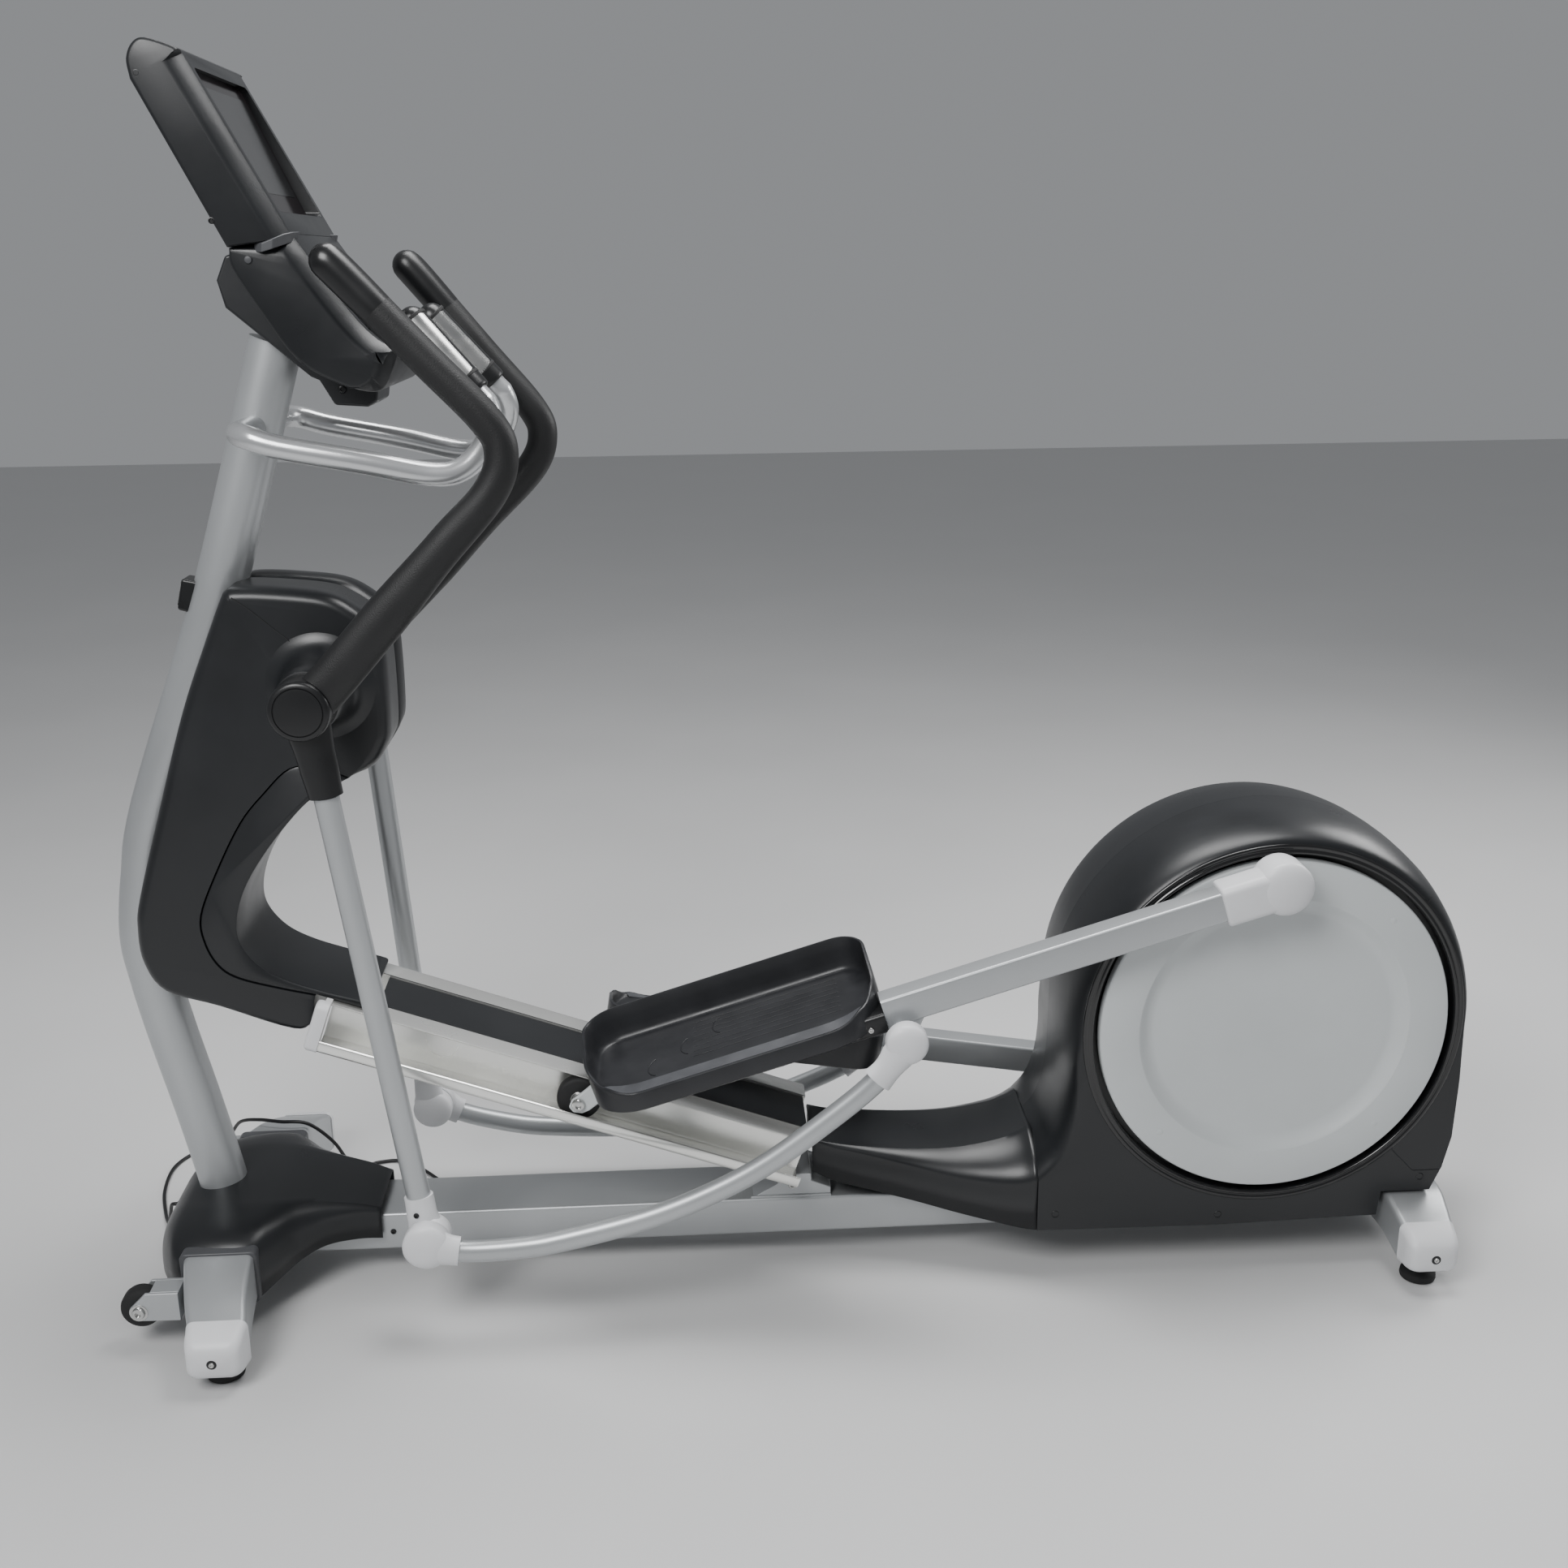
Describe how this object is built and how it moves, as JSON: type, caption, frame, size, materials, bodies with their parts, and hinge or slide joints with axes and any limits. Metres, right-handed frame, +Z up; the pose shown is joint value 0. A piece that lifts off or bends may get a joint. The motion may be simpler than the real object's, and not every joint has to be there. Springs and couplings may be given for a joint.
{
  "type": "elliptical trainer",
  "caption": "Front console elliptical trainer with inclined roller rails, foot pedals on crank arms, swinging handles and a covered rear crank drive.",
  "frame": {"origin": "on the floor under the middle of the machine without its power cord", "axes": "+X towards the crank end at the rear, +Y to the right of a user, who faces -X, +Z up"},
  "size_m": [2.104, 0.7172, 1.789],
  "materials": {
    "silver_paint": "satin silver paint",
    "bright_alloy": "bright anodised",
    "pale_plastic": "off-white satin",
    "dark_cover": "charcoal satin",
    "pedal_plastic": "dark grey satin",
    "console_plastic": "black semi-gloss",
    "grip_rubber": "black textured rubber",
    "disc_plastic": "light grey satin",
    "steel": "bare steel",
    "shiny_tube": "glossy silver paint",
    "screen_glass": "dark gloss screen",
    "black_rubber": "plain black rubber",
    "cord_jacket": "black cord jacket"
  },
  "bodies": {
    "frame": {"base_frame": "silver_paint", "front_stabilizer": "silver_paint", "rear_stabilizer": "silver_paint", "front_cap_left": "pale_plastic", "front_cap_right": "pale_plastic", "rear_cap_left": "pale_plastic", "rear_cap_right": "pale_plastic", "upright_tube": "silver_paint", "front_base_cover": "dark_cover", "tower_cover_left": "dark_cover", "tower_cover_right": "dark_cover", "tower_rear_insert": "dark_cover", "neck_cover": "dark_cover", "rear_cover_left": "dark_cover", "rear_cover_right": "dark_cover", "nose_cover": "dark_cover", "handrail": "shiny_tube", "console_shell": "console_plastic", "console_screen": "screen_glass", "console_pod": "console_plastic", "handle_pivot_shaft": "steel", "sensor_pod": "console_plastic", "wheel_bracket_left": "silver_paint", "wheel_bracket_right": "silver_paint", "rail_left": "bright_alloy", "rail_right": "bright_alloy", "ramp_cover": "dark_cover", "rail_cap_left": "pale_plastic", "rail_cap_right": "pale_plastic", "drive_belt": "black_rubber", "cord_relief": "black_rubber", "cord_run": "cord_jacket", "cord_coil": "cord_jacket", "cord_plug": "cord_jacket"},
    "crank": {"crank_pulley": "steel", "crank_disc_left": "disc_plastic", "crank_disc_right": "disc_plastic"},
    "flywheel": {"flywheel": "steel"},
    "left_axle": {"roller_axle_left": "steel"},
    "left_roller": {"roller_left": "black_rubber"},
    "left_arm": {"foot_arm_left": "silver_paint", "pedal_left": "pedal_plastic"},
    "left_link": {"link_left": "silver_paint"},
    "left_swing": {"handle_left": "grip_rubber", "lower_tube_left": "silver_paint"},
    "front_foot_left": {"front_foot_left": "black_rubber"},
    "rear_foot_left": {"rear_foot_left": "black_rubber"},
    "wheel_left": {"transport_wheel_left": "black_rubber"},
    "right_axle": {"roller_axle_right": "steel"},
    "right_roller": {"roller_right": "black_rubber"},
    "right_arm": {"foot_arm_right": "silver_paint", "pedal_right": "pedal_plastic"},
    "right_link": {"link_right": "silver_paint"},
    "right_swing": {"handle_right": "grip_rubber", "lower_tube_right": "silver_paint"},
    "front_foot_right": {"front_foot_right": "black_rubber"},
    "rear_foot_right": {"rear_foot_right": "black_rubber"},
    "wheel_right": {"transport_wheel_right": "black_rubber"},
    "paddle": {"control_paddle": "pale_plastic"}
  },
  "joints": [
    {"name": "crank_spin", "type": "hinge", "parent": "frame", "child": "crank", "pos_m": [0.707, 0, 0.412], "axis": [0, 1, 0], "continuous": true},
    {"name": "flywheel_spin", "type": "hinge", "parent": "frame", "child": "flywheel", "pos_m": [0.462, 0, 0.232], "axis": [0, 1, 0], "continuous": true},
    {"name": "left_stride", "type": "slide", "parent": "frame", "child": "left_axle", "axis": [0.9397, 0, -0.342], "range_m": [-0.12, 0.12]},
    {"name": "right_stride", "type": "slide", "parent": "frame", "child": "right_axle", "axis": [0.9397, 0, -0.342], "range_m": [-0.0997, 0.0997]},
    {"name": "left_arm_pitch", "type": "hinge", "parent": "left_axle", "child": "left_arm", "pos_m": [-0.338, -0.09, 0.316], "axis": [0, -1, 0], "range_deg": [-2.79, 2.79]},
    {"name": "left_roller_roll", "type": "hinge", "parent": "left_axle", "child": "left_roller", "pos_m": [-0.338, -0.09, 0.316], "axis": [0, 1, 0], "range_deg": [-209, 209]},
    {"name": "left_link_pivot", "type": "hinge", "parent": "left_arm", "child": "left_link", "pos_m": [0.1405, -0.236, 0.453], "axis": [0, -1, 0], "range_deg": [-5.43, 5.43]},
    {"name": "left_handle_swing", "type": "hinge", "parent": "frame", "child": "left_swing", "pos_m": [-0.668, -0.205, 0.961], "axis": [0, -1, 0], "range_deg": [-6.91, 6.91]},
    {"name": "right_arm_pitch", "type": "hinge", "parent": "right_axle", "child": "right_arm", "pos_m": [-0.3442, 0.2, 0.31826], "axis": [0, -1, 0], "range_deg": [-2.3, 2.3]},
    {"name": "right_roller_roll", "type": "hinge", "parent": "right_axle", "child": "right_roller", "pos_m": [-0.3442, 0.2, 0.31826], "axis": [0, 1, 0], "range_deg": [-173, 173]},
    {"name": "right_link_pivot", "type": "hinge", "parent": "right_arm", "child": "right_link", "pos_m": [0.14559, 0.2, 0.22972], "axis": [0, -1, 0], "range_deg": [-3.98, 3.98]},
    {"name": "right_handle_swing", "type": "hinge", "parent": "frame", "child": "right_swing", "pos_m": [-0.668, 0.2, 0.961], "axis": [0, -1, 0], "range_deg": [-6.85, 6.85]},
    {"name": "front_left_leveling", "type": "slide", "parent": "frame", "child": "front_foot_left", "axis": [0, 0, -1], "range_m": [0, 0.012]},
    {"name": "front_right_leveling", "type": "slide", "parent": "frame", "child": "front_foot_right", "axis": [0, 0, -1], "range_m": [0, 0.012]},
    {"name": "rear_left_leveling", "type": "slide", "parent": "frame", "child": "rear_foot_left", "axis": [0, 0, -1], "range_m": [0, 0.012]},
    {"name": "rear_right_leveling", "type": "slide", "parent": "frame", "child": "rear_foot_right", "axis": [0, 0, -1], "range_m": [0, 0.012]},
    {"name": "left_transport_wheel_spin", "type": "hinge", "parent": "frame", "child": "wheel_left", "pos_m": [-0.978, -0.217, 0.07], "axis": [0, 1, 0], "continuous": true},
    {"name": "right_transport_wheel_spin", "type": "hinge", "parent": "frame", "child": "wheel_right", "pos_m": [-0.978, 0.217, 0.07], "axis": [0, 1, 0], "continuous": true},
    {"name": "paddle_rock", "type": "hinge", "parent": "frame", "child": "paddle", "pos_m": [-0.59, 0, 1.47], "axis": [0, 1, 0], "range_deg": [-6, 6], "stiffness_Nm_per_rad": 1.2}
  ],
  "couplings": [
    {"joint": "flywheel_spin", "follows": "crank_spin", "ratio": 7.5},
    {"joint": "right_stride", "follows": "left_stride", "ratio": -0.8225},
    {"joint": "left_arm_pitch", "follows": "left_stride", "rad_per_m": 0.3774},
    {"joint": "left_roller_roll", "follows": "left_stride", "rad_per_m": 29.674},
    {"joint": "left_link_pivot", "follows": "left_stride", "rad_per_m": -0.7612},
    {"joint": "left_handle_swing", "follows": "left_stride", "rad_per_m": 0.9765},
    {"joint": "right_arm_pitch", "follows": "left_stride", "rad_per_m": -0.3059},
    {"joint": "right_roller_roll", "follows": "left_stride", "rad_per_m": -24.407},
    {"joint": "right_link_pivot", "follows": "left_stride", "rad_per_m": 0.5501},
    {"joint": "right_handle_swing", "follows": "left_stride", "rad_per_m": -0.9675}
  ]
}
